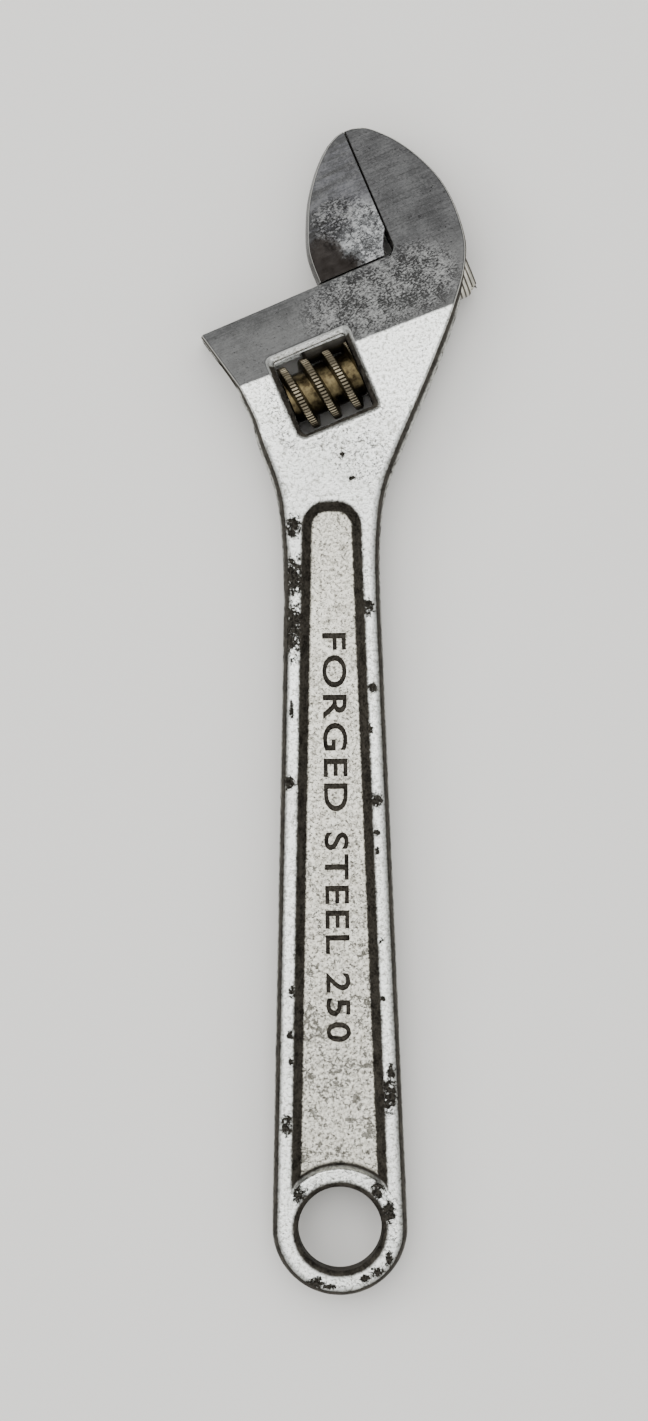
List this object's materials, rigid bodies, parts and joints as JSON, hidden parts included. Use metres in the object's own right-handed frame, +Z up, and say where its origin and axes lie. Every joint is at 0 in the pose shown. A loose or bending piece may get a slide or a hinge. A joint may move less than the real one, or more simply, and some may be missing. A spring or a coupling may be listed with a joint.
{
  "type": "adjustable wrench",
  "caption": "Adjustable wrench with a channelled handle, an angled head, a hook jaw on a round toothed bar, and a worm knurl that opens and closes it.",
  "frame": {"origin": "under the middle of the bounding box, on the surface that the wrench lies on", "axes": "+Y along the handle from the ring to the head, +X to the right seen from above with the nose on the left, +Z up through the thickness"},
  "size_m": [0.0604, 0.254, 0.0156],
  "materials": {
    "satin_chrome": "satin chrome plate, worn, on a blasted forging",
    "ground_steel": "coarsely ground, dulled and pitted",
    "brassy_steel": "turned and knurled, with a brown-yellow patina",
    "blackened_steel": "oiled black",
    "spring_steel": "drawn wire"
  },
  "bodies": {
    "frame": {"wrench_body": "satin_chrome", "knurl_pin": "blackened_steel", "knurl_spring": "spring_steel"},
    "jaw": {"movable_jaw": "ground_steel"},
    "worm": {"knurl": "brassy_steel"}
  },
  "joints": [
    {"name": "jaw_slide", "type": "slide", "parent": "frame", "child": "jaw", "axis": [-0.9239, -0.3827, 0], "range_m": [0, 0.0286]},
    {"name": "worm_spin", "type": "hinge", "parent": "frame", "child": "worm", "pos_m": [-0.00345, 0.07103, 0.0078], "axis": [0.9239, 0.3827, 0], "range_deg": [0, 2028]}
  ],
  "couplings": [
    {"joint": "worm_spin", "follows": "jaw_slide", "rad_per_m": 1236.8}
  ]
}
